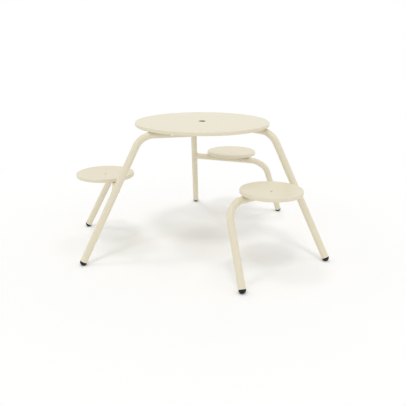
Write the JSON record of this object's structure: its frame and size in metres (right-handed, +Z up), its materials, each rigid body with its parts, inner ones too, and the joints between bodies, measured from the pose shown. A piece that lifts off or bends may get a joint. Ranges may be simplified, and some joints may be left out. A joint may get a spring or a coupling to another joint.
{
  "type": "table with attached seats",
  "caption": "Round outdoor table in painted steel whose round dished seats ride on bent-tube arms welded to its splayed legs, with a parasol hole in the top.",
  "frame": {"origin": "on the floor below the middle of the table top", "axes": "+Z up along the parasol hole, +Y from the middle towards the foot of leg 1, legs numbered counter-clockwise seen from above"},
  "size_m": [1.4804, 1.6107, 0.746],
  "materials": {
    "cream_paint": "satin textured powder coat",
    "black_rubber": "matte moulded",
    "black_plastic": "satin moulded",
    "stainless": "brushed"
  },
  "bodies": {
    "root": {"table_top": "cream_paint", "parasol_bush": "black_plastic", "leg_tube_1": "cream_paint", "leg_tube_2": "cream_paint", "leg_tube_3": "cream_paint", "leg_foot_1": "black_rubber", "leg_foot_2": "black_rubber", "leg_foot_3": "black_rubber", "leg_end_plug_1": "black_plastic", "leg_end_plug_2": "black_plastic", "leg_end_plug_3": "black_plastic", "top_channel_1": "cream_paint", "top_channel_2": "cream_paint", "top_channel_3": "cream_paint", "channel_bolts_1": "stainless", "channel_bolts_2": "stainless", "channel_bolts_3": "stainless", "channel_nuts_1": "stainless", "channel_nuts_2": "stainless", "channel_nuts_3": "stainless", "seat_arm_1": "cream_paint", "seat_arm_2": "cream_paint", "seat_arm_3": "cream_paint", "seat_leg_foot_1": "black_rubber", "seat_leg_foot_2": "black_rubber", "seat_leg_foot_3": "black_rubber", "seat_bracket_1": "cream_paint", "seat_bracket_2": "cream_paint", "seat_bracket_3": "cream_paint", "seat_pan_1": "cream_paint", "seat_pan_2": "cream_paint", "seat_pan_3": "cream_paint", "seat_bosses_1": "cream_paint", "seat_bosses_2": "cream_paint", "seat_bosses_3": "cream_paint", "seat_bolts_1": "stainless", "seat_bolts_2": "stainless", "seat_bolts_3": "stainless", "seat_washers_1": "stainless", "seat_washers_2": "stainless", "seat_washers_3": "stainless"}
  },
  "joints": []
}
